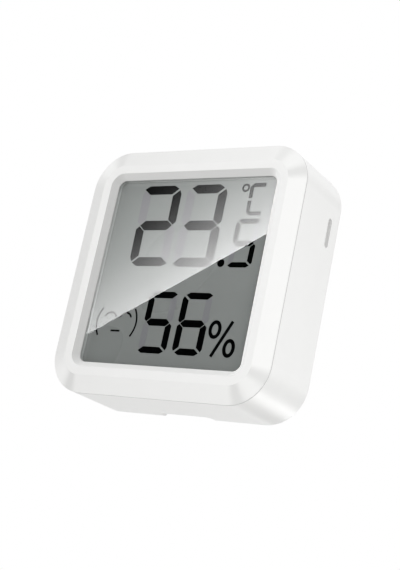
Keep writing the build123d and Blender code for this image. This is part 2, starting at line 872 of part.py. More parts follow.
# Rear housing: a cup with a slim wall, moulded in one with the battery tray, cell saddles,
# contact slots, sensor guides and the button's collar
back_edge_radius = 0.8
seam_edge = 0.15
door_seat_air = 0.05
saddle_depth = 2.2
saddle_clearance = 0.2
saddle_thickness = 1.0
saddle_spread = 13.0
rib_thickness = 0.6
rib_clearance = 0.1
rib_overlap = 0.8
guide_clearance = 0.15
guide_thickness = 1.0
guide_depth = 10.4
tail_clearance = 0.2
rib_outer_x = contact_x - rib_clearance
rib_inner_x = rib_outer_x - rib_thickness
lowest_plate_z = lower_cell_z - plate_half_height
highest_plate_z = upper_cell_z + plate_half_height
lower_plate_top_z = lower_cell_z + plate_half_height
upper_plate_bottom_z = upper_cell_z - plate_half_height

with BuildPart() as rear_housing:
    with BuildSketch(across(housing_front_y)):
        outline(0)
    extrude(amount=-(back_y - housing_front_y))
    fillet(rear_housing.faces().sort_by(Axis.Y)[-1].edges(), back_edge_radius)
    chamfer(rear_housing.faces().sort_by(Axis.Y)[0].edges(), seam_edge)
    with BuildSketch(across(housing_front_y)):
        outline(wall)
    extrude(amount=-(rear_inner_y - housing_front_y), mode=Mode.SUBTRACT)
    with BuildSketch(across(tray_y)):
        with Locations((0, tray_middle_z)):
            Rectangle(tray_length + 2 * tray_wall, tray_height + 2 * tray_wall)
        outline(wall / 2, mode=Mode.INTERSECT)
    extrude(amount=-(rear_inner_y - tray_y))
    with BuildSketch(across(tray_floor_y)):
        with Locations((0, tray_middle_z)):
            RectangleRounded(tray_length, tray_height, tray_corner_radius)
    extrude(amount=-(back_y - tray_floor_y), mode=Mode.SUBTRACT)
    with BuildSketch(across(door_inner_y - door_seat_air)):
        with Locations((0, tray_middle_z)):
            RectangleRounded(
                tray_length + 2 * (door_lap + door_gap),
                tray_height + 2 * (door_lap + door_gap),
                door_corner_radius + door_gap,
            )
    extrude(amount=-(door_thickness + door_seat_air), mode=Mode.SUBTRACT)
    for place in (-saddle_spread, 0, saddle_spread):
        with BuildSketch(Plane.YZ.offset(place)):
            span(tray_floor_y, tray_floor_y + saddle_depth, tray_bottom_z, tray_top_z)
            with Locations((cell_y, lower_cell_z), (cell_y, upper_cell_z)):
                Circle(cell_radius + saddle_clearance, mode=Mode.SUBTRACT)
        extrude(amount=saddle_thickness / 2, both=True)
    with BuildSketch(across(tray_floor_y)):
        for left, right in ((-rib_outer_x, -rib_inner_x), (rib_inner_x, rib_outer_x)):
            span(left, right, tray_bottom_z, lowest_plate_z + rib_overlap)
            span(left, right, highest_plate_z - rib_overlap, tray_top_z)
        span(
            rib_inner_x,
            rib_outer_x,
            lower_plate_top_z - rib_overlap,
            upper_plate_bottom_z + rib_overlap,
        )
        span(
            rib_outer_x,
            tray_length / 2,
            lower_plate_top_z + rib_clearance,
            upper_plate_bottom_z - rib_clearance,
        )
    extrude(amount=-(plate_rear_y - tray_floor_y))
    with BuildSketch(across(tray_floor_y)):
        for tail_z in (lower_cell_z - tail_drop, upper_cell_z - tail_drop):
            span(
                contact_x - tail_clearance,
                tray_length / 2,
                tail_z - tail_width / 2 - tail_clearance,
                tail_z + tail_width / 2 + tail_clearance,
            )
    extrude(amount=tray_floor, mode=Mode.SUBTRACT)
    with BuildSketch(across(door_inner_y)):
        for place in (-tab_spread, tab_spread):
            half_pocket = tab_width / 2 + pocket_side_air
            span(
                place - half_pocket,
                place + half_pocket,
                tray_top_z,
                door_top_z + tab_rise + pocket_side_air,
            )
    extrude(amount=pocket_depth, mode=Mode.SUBTRACT)
    with BuildSketch(Plane.XY):
        with Locations((0, back_y)):
            RectangleRounded(notch_width, 2 * notch_reach, notch_corner_radius)
    extrude(amount=door_bottom_z, mode=Mode.SUBTRACT)
    with BuildSketch(across(rear_inner_y)):
        with Locations((0, button_z)):
            Circle(collar_radius + collar_wall)
            Circle(collar_radius, mode=Mode.SUBTRACT)
    extrude(amount=collar_depth)
    with BuildSketch(across(back_y)):
        with Locations((0, button_z)):
            Circle(button_radius + button_clearance)
    extrude(amount=rear_wall, mode=Mode.SUBTRACT)
    with BuildSketch(across(rear_inner_y)):
        for edge in (-1, 1):
            near = vent_z + edge * (sensor_board_half + guide_clearance)
            far = near + edge * guide_thickness
            span(
                sensor_board_x - guide_thickness,
                case_width / 2 - wall / 2,
                min(near, far),
                max(near, far),
            )
    extrude(amount=guide_depth)
    with BuildSketch(
        Plane(origin=(case_width / 2, vent_y, vent_z), x_dir=(0, 0, 1), z_dir=(1, 0, 0))
    ):
        SlotOverall(vent_length, vent_width)
    extrude(amount=-(wall + overrun), mode=Mode.SUBTRACT)
    add(hook_grooves, mode=Mode.SUBTRACT)
rear_housing.part.label = "rear_housing"
export_step(rear_housing.part, "parts/rear_housing.step")

# Battery door: a flush plate with two tabs at the top, a tongue for the nail at the bottom,
# a latch arm above the tongue, and a stiffening rib that lies between the cells
door_edge = 0.2
latch_width = 7.0
latch_lift = 0.45
latch_thickness = 0.8
latch_reach = 1.9
door_rib_length = 40.0
door_rib_thickness = 1.0
door_rib_depth = 2.0
door_width = tray_length + 2 * door_lap
door_height = tray_height + 2 * door_lap
tongue_width = notch_width - 2 * tongue_side_air

with BuildPart() as battery_door:
    with BuildSketch(across(door_inner_y)):
        with Locations((0, tray_middle_z)):
            RectangleRounded(door_width, door_height, door_corner_radius)
        tongue_top_z = door_bottom_z + tray_wall + tongue_corner_radius
        with Locations((0, (tongue_rise + tongue_top_z) / 2)):
            RectangleRounded(tongue_width, tongue_top_z - tongue_rise, tongue_corner_radius)
    extrude(amount=-door_thickness)
    chamfer(battery_door.faces().sort_by(Axis.Y)[-1].edges(), door_edge)
    with BuildSketch(across(door_inner_y)):
        span(
            -door_rib_length / 2,
            door_rib_length / 2,
            tray_middle_z - door_rib_thickness / 2,
            tray_middle_z + door_rib_thickness / 2,
        )
    extrude(amount=door_rib_depth)
    with BuildSketch(across(door_inner_y)):
        span(
            -latch_width / 2,
            latch_width / 2,
            tray_bottom_z + latch_lift,
            tray_bottom_z + latch_lift + latch_thickness,
        )
    extrude(amount=latch_reach)
    for place in (-tab_spread, tab_spread):
        with BuildSketch(Plane.YZ.offset(place)):
            Polygon(
                (door_inner_y, door_top_z - tab_drop),
                (tab_inner_y, door_top_z - tab_drop),
                (tab_inner_y, door_top_z + tab_rise),
                (tab_outer_y, door_top_z + tab_rise),
                (tab_outer_y, door_top_z - tab_air),
                (door_inner_y, door_top_z - tab_air),
                align=None,
            )
        extrude(amount=tab_width / 2, both=True)
battery_door.part.label = "battery_door"
export_step(battery_door.part, "parts/battery_door.step")
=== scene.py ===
import math

import bmesh
import bpy
from mathutils import Matrix, Vector


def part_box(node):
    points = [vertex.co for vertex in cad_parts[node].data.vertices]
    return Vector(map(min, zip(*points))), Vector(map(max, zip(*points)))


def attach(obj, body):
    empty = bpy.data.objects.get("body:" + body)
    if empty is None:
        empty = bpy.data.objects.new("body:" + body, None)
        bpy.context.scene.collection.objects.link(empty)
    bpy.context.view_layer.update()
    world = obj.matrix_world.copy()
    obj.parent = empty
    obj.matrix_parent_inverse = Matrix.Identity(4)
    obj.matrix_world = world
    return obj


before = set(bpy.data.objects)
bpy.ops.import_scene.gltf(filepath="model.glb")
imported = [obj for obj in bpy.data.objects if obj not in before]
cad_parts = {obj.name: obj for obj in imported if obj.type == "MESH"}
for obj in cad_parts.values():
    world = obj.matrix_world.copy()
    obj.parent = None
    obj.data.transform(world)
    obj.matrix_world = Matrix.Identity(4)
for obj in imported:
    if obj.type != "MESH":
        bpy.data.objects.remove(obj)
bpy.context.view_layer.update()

# The white shell: front bezel, rear housing, battery door and the button in the back. All are
# injection moulded in ABS from spark-eroded tools, so they snap together with a fine seam.


def linear(hex_code):
    """An sRGB hex value as the linear colour that the shader sockets take."""
    shares = [int(hex_code[place : place + 2], 16) / 255 for place in (1, 3, 5)]
    light = [s / 12.92 if s <= 0.04045 else ((s + 0.055) / 1.055) ** 2.4 for s in shares]
    return (*light, 1.0)


def new_finish(name):
    """A material for one finish, and its node tree with nothing in it yet."""
    finish = bpy.data.materials.new(name)
    finish.use_nodes = True
    finish.node_tree.nodes.clear()
    return finish, finish.node_tree


def add(tree, kind, inputs=None, **settings):
    """One node with its settings. An input takes a plain value, or another node's output."""
    made = tree.nodes.new("ShaderNode" + kind)
    for name, value in settings.items():
        setattr(made, name, value)
    for name, value in (inputs or {}).items():
        if isinstance(value, bpy.types.NodeSocket):
            tree.links.new(value, made.inputs[name])
        else:
            made.inputs[name].default_value = value
    return made


def dress(finish, *names):
    """Gives CAD nodes that finish in every material slot they have."""
    for name in names:
        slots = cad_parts[name].data.materials
        slots.clear()
        slots.append(finish)


# Moulded ABS: bright neutral white with a satin face. The eroded grain is 0.15 mm across,
# which only softens the highlights, and a slow mottle of 6 mm keeps big faces from looking flat.
mm = 0.001
abs_grain, abs_mottle = 0.15 * mm, 6 * mm
white_abs, tree = new_finish("moulded_white_abs")
place = add(tree, "TexCoord").outputs["Object"]
grain = add(tree, "TexNoise", {"Vector": place, "Scale": 1 / abs_grain, "Detail": 1.0})
mottle = add(tree, "TexNoise", {"Vector": place, "Scale": 1 / abs_mottle, "Detail": 2.0})
shade = add(
    tree,
    "Mix",
    {0: mottle.outputs["Fac"], 6: linear("#f2f2f1"), 7: linear("#f5f5f4")},
    data_type="RGBA",
)

# The slope from the rim down to the window starts just under the rim. Its shade is drawn from
# the way it faces, palest on the right side of the window and greyest on the left.
rim_low, rim_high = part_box("front_bezel")
rim_middle = ((rim_low.x + rim_high.x) / 2, rim_low.y, (rim_low.z + rim_high.z) / 2)
slope_reach, slope_start = Vector((24.4, 1.9, 25.1)) * mm, 0.06 * mm
slope_pale_way, slope_turn = (-0.92, 0.0, 0.25), 0.64
from_middle = add(tree, "VectorMath", {0: place, 1: rim_middle}, operation="SUBTRACT")
apart = add(tree, "VectorMath", {0: from_middle.outputs["Vector"]}, operation="ABSOLUTE")
beyond = add(
    tree,
    "VectorMath",
    {0: apart.outputs["Vector"], 1: tuple(slope_reach)},
    operation="SUBTRACT",
)
sides = add(tree, "SeparateXYZ", {"Vector": beyond.outputs["Vector"]}).outputs
wider = add(tree, "Math", {0: sides["X"], 1: sides["Z"]}, operation="MAXIMUM")
furthest = add(tree, "Math", {0: wider.outputs[0], 1: sides["Y"]}, operation="MAXIMUM")
within = add(tree, "Math", {0: furthest.outputs[0], 1: 0.0}, operation="LESS_THAN")
deep = add(tree, "SeparateXYZ", {"Vector": from_middle.outputs["Vector"]}).outputs["Y"]
sunk = add(tree, "Math", {0: deep, 1: slope_start}, operation="GREATER_THAN")
on_slope = add(tree, "Math", {0: within.outputs[0], 1: sunk.outputs[0]}, operation="MULTIPLY")
facing = add(tree, "TexCoord").outputs["Normal"]
faced = add(tree, "VectorMath", {0: facing, 1: slope_pale_way}, operation="DOT_PRODUCT")
turned = add(
    tree,
    "MapRange",
    {"Value": faced.outputs["Value"], "From Min": -slope_turn, "From Max": slope_turn},
)
slope_shade = add(
    tree,
    "Mix",
    {0: turned.outputs["Result"], 6: linear("#c2c2c1"), 7: linear("#fbfbfa")},
    data_type="RGBA",
)
shell = add(
    tree,
    "Mix",
    {0: on_slope.outputs[0], 6: shade.outputs[2], 7: slope_shade.outputs[2]},
    data_type="RGBA",
)
satin = add(
    tree, "MapRange", {"Value": mottle.outputs["Fac"], "To Min": 0.30, "To Max": 0.34}
)

# Where the chamfer turns a corner, the photograph shows a clear middle between two duller bands,
# which its studio gave it and a white plastic mirrors too weakly here. So they are drawn, from
# the way the surface faces: full where it faces right or down, half as strong where it faces up,
# and none where it faces left.
chamfer_lean, chamfer_spread = -0.936, 0.03
band_edges = ((0.1, 0.6), (1.0, 0.7))
upward_share = 0.5
full_turn = 2 / (1 - chamfer_lean**2)
faces = add(tree, "SeparateXYZ", {"Vector": facing}).outputs
on_chamfer = add(
    tree, "Math", {0: faces["Y"], 1: chamfer_lean, 2: chamfer_spread}, operation="COMPARE"
)
skew = add(tree, "Math", {0: faces["X"], 1: faces["Z"]}, operation="MULTIPLY")
bend = add(tree, "Math", {0: skew.outputs[0]}, operation="ABSOLUTE")
round_corner = add(tree, "Math", {0: bend.outputs[0], 1: full_turn}, operation="MULTIPLY")
lower_right = add(tree, "Math", {0: faces["Z"], 1: faces["X"]}, operation="LESS_THAN")
aside = add(tree, "Math", {0: faces["X"]}, operation="ABSOLUTE")
upward = add(tree, "Math", {0: faces["Z"], 1: aside.outputs[0]}, operation="GREATER_THAN")
fainter = add(tree, "Math", {0: upward.outputs[0], 1: upward_share}, operation="MULTIPLY")
band_share = add(
    tree, "Math", {0: lower_right.outputs[0], 1: fainter.outputs[0]}, operation="MAXIMUM"
)
corner_band = add(
    tree, "Math", {0: on_chamfer.outputs[0], 1: band_share.outputs[0]}, operation="MULTIPLY"
)
for none_at, full_at in band_edges:
    band_edge = add(
        tree,
        "MapRange",
        {"Value": round_corner.outputs[0], "From Min": none_at, "From Max": full_at},
        interpolation_type="SMOOTHSTEP",
    )
    corner_band = add(
        tree, "Math", {0: corner_band.outputs[0], 1: band_edge.outputs[0]}, operation="MULTIPLY"
    )
# The duller bands at the chamfer's corners are painted shade
banded = add(
    tree,
    "Mix",
    {0: corner_band.outputs[0], 6: shell.outputs[2], 7: linear("#e1e1e0")},
    data_type="RGBA",
)

# The seam round the bezel and the vent slot with its lip carry painted shade, a little greyer,
# which makes the slot look as wide as it should. The slot is a straight line with round ends.
seam_middle_y, seam_half = -8.175 * mm, 0.18 * mm
vent_middle = (26.3 * mm, 5.25 * mm, 45.15 * mm)
vent_straight, vent_half, vent_lip_x = 2.7 * mm, 0.85 * mm, 29.95 * mm
across = add(tree, "SeparateXYZ", {"Vector": place})
off_seam = add(tree, "Math", {0: across.outputs["Y"], 1: seam_middle_y}, operation="SUBTRACT")
seam_gap = add(tree, "Math", {0: off_seam.outputs[0]}, operation="ABSOLUTE")
in_seam = add(tree, "Math", {0: seam_gap.outputs[0], 1: seam_half}, operation="LESS_THAN")
off_vent = add(tree, "VectorMath", {0: place, 1: vent_middle}, operation="SUBTRACT")
from_vent = add(tree, "SeparateXYZ", {"Vector": off_vent.outputs["Vector"]}).outputs
up_vent = add(tree, "Math", {0: from_vent["Z"]}, operation="ABSOLUTE")
past_straight = add(tree, "Math", {0: up_vent.outputs[0], 1: vent_straight}, operation="SUBTRACT")
in_end = add(tree, "Math", {0: past_straight.outputs[0], 1: 0.0}, operation="MAXIMUM")
from_line = add(tree, "CombineXYZ", {"Y": from_vent["Y"], "Z": in_end.outputs[0]})
off_line = add(tree, "VectorMath", {0: from_line.outputs["Vector"]}, operation="LENGTH")
near_line = add(tree, "Math", {0: off_line.outputs["Value"], 1: vent_half}, operation="LESS_THAN")
in_wall = add(tree, "Math", {0: from_vent["X"], 1: 0.0}, operation="GREATER_THAN")
in_vent = add(tree, "Math", {0: near_line.outputs[0], 1: in_wall.outputs[0]}, operation="MULTIPLY")
seamed = add(
    tree,
    "Mix",
    {0: in_seam.outputs[0], 6: banded.outputs[2], 7: linear("#cfcfce")},
    data_type="RGBA",
)
on_lip = add(tree, "Math", {0: across.outputs["X"], 1: vent_lip_x}, operation="GREATER_THAN")
vent_grey = add(
    tree,
    "Mix",
    {0: on_lip.outputs[0], 6: linear("#ececeb"), 7: linear("#c6c6c5")},
    data_type="RGBA",
)
# Painted shade in the seam gap, in the vent slot and on its lip
seam_vent_shade = add(
    tree,
    "Mix",
    {0: in_vent.outputs[0], 6: seamed.outputs[2], 7: vent_grey.outputs[2]},
    data_type="RGBA",
)

# The thin lip round the display has a painted glow on its right side, which makes it paler
painted_glow_power, painted_glow_strength = 3.0, 0.32
painted_glow_share = add(tree, "Math", {0: turned.outputs["Result"], 1: painted_glow_power}, operation="POWER")
lip_light = add(tree, "Math", {0: painted_glow_share.outputs[0], 1: on_slope.outputs[0]}, operation="MULTIPLY")
lip_glow = add(tree, "Math", {0: lip_light.outputs[0], 1: painted_glow_strength}, operation="MULTIPLY")
eroded = add(
    tree, "Bump", {"Height": grain.outputs["Fac"], "Strength": 0.12, "Distance": 0.01 * mm}
)
plastic = add(
    tree,
    "BsdfPrincipled",
    {
        "Base Color": seam_vent_shade.outputs[2],
        "Roughness": satin.outputs["Result"],
        "IOR": 1.54,
        "Normal": eroded.outputs["Normal"],
        "Emission Color": linear("#ffffff"),
        "Emission Strength": lip_glow.outputs[0],
    },
)
add(tree, "OutputMaterial", {"Surface": plastic.outputs["BSDF"]})
dress(white_abs, "front_bezel", "rear_housing", "battery_door", "pair_button")

# The window: a plate of clear acrylic behind the rim, cut from cast sheet and polished on both
# faces. It is stuck to the bezel with a ring of white double-sided foam tape.

# Clear acrylic: seen through without a tint, it mirrors a few percent of what stands before it.
# The sheet is too thin to bend what lies behind, so light goes straight through.
clear_acrylic, tree = new_finish("polished_clear_acrylic")
behind = add(tree, "NewGeometry").outputs["Backfacing"]
mirrored = add(tree, "Fresnel", {"IOR": 1.49}).outputs["Fac"]
front_only = add(tree, "Math", {0: 1.0, 1: behind}, operation="SUBTRACT")
share = add(tree, "Math", {0: mirrored, 1: front_only.outputs[0]}, operation="MULTIPLY")
through = add(tree, "BsdfTransparent", {"Color": linear("#ffffff")})
polish = add(tree, "BsdfGlossy", {"Color": linear("#ffffff"), "Roughness": 0.0})
pane = add(
    tree,
    "MixShader",
    {0: share.outputs[0], 1: through.outputs["BSDF"], 2: polish.outputs["BSDF"]},
)
add(tree, "OutputMaterial", {"Surface": pane.outputs["Shader"]})
dress(clear_acrylic, "display_window")

# Foam tape: dull white with open pores of about 0.2 mm along its cut edge.
foam_pore = 0.2 * mm
foam_tape, tree = new_finish("white_foam_tape")
place = add(tree, "TexCoord").outputs["Object"]
pores = add(tree, "TexVoronoi", {"Vector": place, "Scale": 1 / foam_pore})
pits = add(tree, "Bump", {"Height": pores.outputs["Distance"], "Distance": 0.03 * mm})
foam = add(
    tree,
    "BsdfPrincipled",
    {
        "Base Color": linear("#c4c5c4"),
        "Roughness": 0.9,
        "IOR": 1.45,
        "Normal": pits.outputs["Normal"],
    },
)
add(tree, "OutputMaterial", {"Surface": foam.outputs["BSDF"]})
dress(foam_tape, "window_tape")

# The display cell: two glass plates with liquid crystal between them, a polariser in front and
# a reflector behind. All that shows is grey film, and the figures that turn dark on it.

# Reflective display film: neutral grey, faintly lighter and darker in patches of 25 mm where
# the cell gap varies, under the low gloss of its hard coat.
film_patch = 25 * mm
film_low, film_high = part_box("lcd_front_polariser")
display_middle = (film_low + film_high) / 2

# How fast the light on the display grows towards its lower right, for each millimetre across and
# up, and where on that slant the lifted band begins, is full, begins to end and ends
slant_shares = (0.01525, 0.0, -0.0203)
band_begins, band_full, band_ends, band_gone = -1.1, -0.45, -0.22, 0.05


def slanted_light(tree, place, plain, lifted):
    """A film colour with painted light, lifted in a broad band from the upper left. The band runs
    across the slant of the display."""
    from_middle = add(
        tree, "VectorMath", {0: place, 1: tuple(display_middle)}, operation="SUBTRACT"
    ).outputs["Vector"]
    per_metre = tuple(share / mm for share in slant_shares)
    slant = add(
        tree, "VectorMath", {0: from_middle, 1: per_metre}, operation="DOT_PRODUCT"
    ).outputs["Value"]
    rise, drop = (
        add(
            tree,
            "MapRange",
            {"Value": slant, "From Min": none_at, "From Max": full_at},
            interpolation_type="SMOOTHSTEP",
        ).outputs["Result"]
        for none_at, full_at in ((band_begins, band_full), (band_gone, band_ends))
    )
    band = add(tree, "Math", {0: rise, 1: drop}, operation="MULTIPLY")
    return add(tree, "Mix", {0: band.outputs[0], 6: plain, 7: lifted}, data_type="RGBA").outputs[2]


display_film, tree = new_finish("grey_polariser_film")
place = add(tree, "TexCoord").outputs["Object"]
patches = add(tree, "TexNoise", {"Vector": place, "Scale": 1 / film_patch, "Detail": 0.0})
grey = add(
    tree,
    "Mix",
    {0: patches.outputs["Fac"], 6: linear("#7d817f"), 7: linear("#7e8280")},
    data_type="RGBA",
)
# The film's colour carries the painted light of the slanted band
film_colour = slanted_light(tree, place, grey.outputs[2], linear("#999d9b"))

# The left and upper margins are drawn a little lighter, to lift them out of the rim's shade
film_left_top = (film_low.x, 0.0, film_high.z)
lift_start, lift_full, lift_share = 1.9 * mm, 0.6 * mm, 0.10
off_corner = add(tree, "VectorMath", {0: place, 1: film_left_top}, operation="SUBTRACT")
off_sides = add(tree, "SeparateXYZ", {"Vector": off_corner.outputs["Vector"]}).outputs
below_top = add(tree, "Math", {0: off_sides["Z"], 1: -1.0}, operation="MULTIPLY")
margin = add(tree, "Math", {0: off_sides["X"], 1: below_top.outputs[0]}, operation="MINIMUM")
lift = add(
    tree,
    "MapRange",
    {
        "Value": margin.outputs[0],
        "From Min": lift_start,
        "From Max": lift_full,
        "To Max": lift_share,
    },
    interpolation_type="SMOOTHSTEP",
)
film_shade = add(
    tree,
    "Mix",
    {0: lift.outputs["Result"], 6: film_colour, 7: linear("#ffffff")},
    data_type="RGBA",
)
coat = add(tree, "MapRange", {"Value": patches.outputs["Fac"], "To Min": 0.27, "To Max": 0.28})
film = add(
    tree,
    "BsdfPrincipled",
    {
        "Base Color": film_shade.outputs[2],
        "Roughness": coat.outputs["Result"],
        "IOR": 1.49,
        "Specular IOR Level": 0.42,
    },
)
add(tree, "OutputMaterial", {"Surface": film.outputs["BSDF"]})
dress(display_film, "lcd_front_polariser")

# Display glass: thin soda-lime plate, green where it is looked at through its cut edge, with the
# slow ripple of drawn glass.
glass_ripple = 11.1 * mm
display_glass, tree = new_finish("soda_lime_display_glass")
place = add(tree, "TexCoord").outputs["Object"]
ripple = add(tree, "TexNoise", {"Vector": place, "Scale": 1 / glass_ripple})
cut = add(tree, "Bump", {"Height": ripple.outputs["Fac"], "Distance": 0.01 * mm})
plate = add(
    tree,
    "BsdfPrincipled",
    {
        "Base Color": linear("#dfeee6"),
        "Roughness": 0.02,
        "IOR": 1.52,
        "Transmission Weight": 0.9,
        "Normal": cut.outputs["Normal"],
    },
)
add(tree, "OutputMaterial", {"Surface": plate.outputs["BSDF"]})
dress(display_glass, "lcd_front_glass", "lcd_rear_glass")

# Reflector film: aluminium on polyester, embossed with grains of 0.1 mm that scatter the light.
foil_grain = 0.1 * mm
reflector_foil, tree = new_finish("embossed_aluminium_film")
place = add(tree, "TexCoord").outputs["Object"]
emboss = add(tree, "TexVoronoi", {"Vector": place, "Scale": 1 / foil_grain})
dents = add(tree, "Bump", {"Height": emboss.outputs["Distance"], "Distance": 0.01 * mm})
foil = add(
    tree,
    "BsdfPrincipled",
    {
        "Base Color": linear("#c9cbc9"),
        "Metallic": 1.0,
        "Roughness": 0.38,
        "Normal": dents.outputs["Normal"],
    },
)
add(tree, "OutputMaterial", {"Surface": foil.outputs["BSDF"]})
dress(reflector_foil, "lcd_reflector")

# The figures: liquid crystal that turns dark between printed electrodes. They lie in the air
# gap behind the window, a hundredth of a millimetre proud of the film. Sizes are in millimetres
# from the middle of the display, across and up.
window_low, window_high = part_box("display_window")
front_share, back_share = 0.6, 0.95
air_gap = film_low.y - window_high.y
figure_front = window_high.y + front_share * air_gap
figure_back = window_high.y + back_share * air_gap


def on_display(spot, depth):
    """A place on the display, in metres in the part's frame."""
    return (display_middle.x + spot[0] * mm, depth, display_middle.z + spot[1] * mm)


def plate_between(mesh, rim):
    """A thin closed plate with that rim, given anticlockwise as it is looked at."""
    front = [mesh.verts.new(on_display(spot, figure_front)) for spot in rim]
    back = [mesh.verts.new(on_display(spot, figure_back)) for spot in rim]
    mesh.faces.new(front)
    mesh.faces.new(reversed(back))
    for number in range(len(rim)):
        after = (number + 1) % len(rim)
        mesh.faces.new((front[number], back[number], back[after], front[after]))


def stroke(mesh, line, width, closed=False):
    """A thin closed band of even width along a line, or round a ring."""
    count = len(line)
    rows = []
    for number, spot in enumerate(line):
        before = line[(number - 1) % count] if closed or number else spot
        after = line[(number + 1) % count] if closed or number < count - 1 else spot
        along = Vector((after[0] - before[0], after[1] - before[1])).normalized()
        out = Vector((-along.y, along.x)) * width / 2
        sides = [(spot[0] + out.x * way, spot[1] + out.y * way) for way in (1, -1)]
        rows.append(
            [
                mesh.verts.new(on_display(side, depth))
                for side in sides
                for depth in (figure_front, figure_back)
            ]
        )
    pairs = list(zip(rows, rows[1:]))
    if closed:
        pairs.append((rows[-1], rows[0]))
    for (a, b, c, d), (e, f, g, h) in pairs:
        for corners in ((a, c, g, e), (b, f, h, d), (a, e, f, b), (c, d, h, g)):
            mesh.faces.new(corners)
    if not closed:
        mesh.faces.new(rows[0][i] for i in (0, 1, 3, 2))
        mesh.faces.new(rows[-1][i] for i in (0, 2, 3, 1))


def arc(middle, across, up, start, end, steps=28):
    """Places along part of an ellipse, from one angle to another in degrees."""
    turns = [math.radians(start + (end - start) * step / steps) for step in range(steps + 1)]
    return [(middle[0] + across * math.cos(t), middle[1] + up * math.sin(t)) for t in turns]


def bow(first, top, last, steps=12):
    """Places along a shallow bow through three points."""
    line = []
    for step in range(steps + 1):
        t = step / steps
        parts = ((1 - t) * (1 - 2 * t), 4 * t * (1 - t), t * (2 * t - 1))
        line.append(
            tuple(
                parts[0] * first[way] + parts[1] * top[way] + parts[2] * last[way]
                for way in (0, 1)
            )
        )
    return line


def segments(middle, bottom, waist, top, half, thickness, gap, lean, top_ends, bottom_ends):
    """Rims of the seven segments of one figure, which lean a little. Its bars have pointed
    ends that fit the snipped ends of its posts, with a gap between. The top and bottom bars can
    start and end a little further right."""

    def placed(points):
        return [(middle + across + lean * (waist - up), up) for across, up in points]

    def bar(edge, way, ends):
        tip, outer, inner = (half - share * thickness for share in (0.22, 0.83, 0.98))
        left, right = ends
        return placed(
            [
                (left - tip, edge - way * 0.35 * thickness),
                (left - inner, edge - way * 0.94 * thickness),
                (right + inner, edge - way * 0.94 * thickness),
                (right + tip, edge - way * 0.35 * thickness),
                (right + outer, edge),
                (left - outer, edge),
            ]
        )

    def post(side, edge, way):
        return placed(
            [
                (side * (half - 0.22 * thickness), edge - way * (0.4 * thickness + gap)),
                (side * half, edge - way * 0.95 * thickness),
                (side * half, waist + way * 0.4 * thickness),
                (side * (half - 0.36 * thickness), waist + way * gap * 0.7),
                (side * (half - thickness), waist + way * (0.5 * thickness + gap)),
                (side * (half - thickness), edge - way * (thickness + gap)),
            ]
        )

    tip, shoulder = half - 0.42 * thickness, half - 1.0 * thickness
    arm = 0.51 * thickness
    return {
        "top": bar(top, 1, top_ends),
        "bottom": bar(bottom, -1, bottom_ends),
        "upper_left": post(-1, top, 1),
        "upper_right": post(1, top, 1),
        "lower_left": post(-1, bottom, -1),
        "lower_right": post(1, bottom, -1),
        "waist": placed(
            [
                (-tip, waist),
                (-shoulder, waist - arm),
                (shoulder, waist - arm),
                (tip, waist),
                (shoulder, waist + arm),
                (-shoulder, waist + arm),
            ]
        ),
    }


# Dark liquid crystal: a near-black with no shine of its own, with the fine grain of 0.1 mm
# that the reflector behind gives it.
crystal_grain = 0.1 * mm
dark_crystal, tree = new_finish("dark_liquid_crystal")
place = add(tree, "TexCoord").outputs["Object"]
speck = add(tree, "TexNoise", {"Vector": place, "Scale": 1 / crystal_grain})
depth = add(
    tree,
    "Mix",
    {0: speck.outputs["Fac"], 6: linear("#030404"), 7: linear("#050606")},
    data_type="RGBA",
)
crystal = add(
    tree,
    "BsdfPrincipled",
    {
        "Base Color": depth.outputs[2],
        "Roughness": 0.6,
        "IOR": 1.49,
        "Specular IOR Level": 0.0,
    },
)
add(tree, "OutputMaterial", {"Surface": crystal.outputs["BSDF"]})

# Electrodes at rest: the same figures where they are off, a breath darker and violet.
resting_crystal, tree = new_finish("resting_liquid_crystal")
place = add(tree, "TexCoord").outputs["Object"]
speck = add(tree, "TexNoise", {"Vector": place, "Scale": 1 / film_patch, "Detail": 0.0})
tone = add(
    tree,
    "Mix",
    {0: speck.outputs["Fac"], 6: linear("#76777a"), 7: linear("#78797c")},
    data_type="RGBA",
)
# The resting figures carry the same painted light as the film
rest_colour = slanted_light(tree, place, tone.outputs[2], linear("#949497"))
rest = add(
    tree,
    "BsdfPrincipled",
    {
        "Base Color": rest_colour,
        "Roughness": 0.28,
        "IOR": 1.49,
        "Specular IOR Level": 0.42,
    },
)
add(tree, "OutputMaterial", {"Surface": rest.outputs["BSDF"]})

# Each figure's middle across, then its bottom, waist and top, half its width, its stroke, its
# gap, its lean, and how far the ends of its top and bottom bars are moved
figures = {
    "tens": ((-9.64, 1.4, 11.75, 22.0, 5.65, 2.4, 0.25, 0.02, (-0.23, -0.35), (0.28, 0.2)), "2"),
    "units": ((3.2, 1.33, 11.64, 21.97, 5.65, 2.4, 0.25, 0, (0.6, -0.45), (-0.42, 0.1)), "3"),
    "tenths": (
        (16.12, 1.33, 7.15, 13.2, 3.2, 1.35, 0.21, -0.02, (0.2, 0.3), (-0.25, -0.3)),
        "5",
    ),
    "humidity_tens": (
        (-2.87, -19.85, -12.36, -4.88, 4.0, 1.7, 0.22, -0.008, (0.05, 0.3), (-0.33, -0.37)),
        "5",
    ),
    "humidity_units": (
        (6.74, -19.86, -12.36, -4.91, 4.05, 1.7, 0.22, -0.008, (0.4, 0.36), (0.45, -0.43)),
        "6",
    ),
}
lit_segments = {
    "2": ("top", "upper_right", "waist", "lower_left", "bottom"),
    "3": ("top", "upper_right", "waist", "lower_right", "bottom"),
    "5": ("top", "upper_left", "waist", "lower_right", "bottom"),
    "6": ("top", "upper_left", "waist", "lower_left", "lower_right", "bottom"),
}


def keep_piece(mesh, name, finish):
    """Turns the worked mesh into a piece of the display with that finish."""
    bmesh.ops.recalc_face_normals(mesh, faces=mesh.faces)
    data = bpy.data.meshes.new(name)
    mesh.to_mesh(data)
    mesh.free()
    data.materials.append(finish)
    piece = bpy.data.objects.new(name, data)
    bpy.context.scene.collection.objects.link(piece)
    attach(piece, "root")


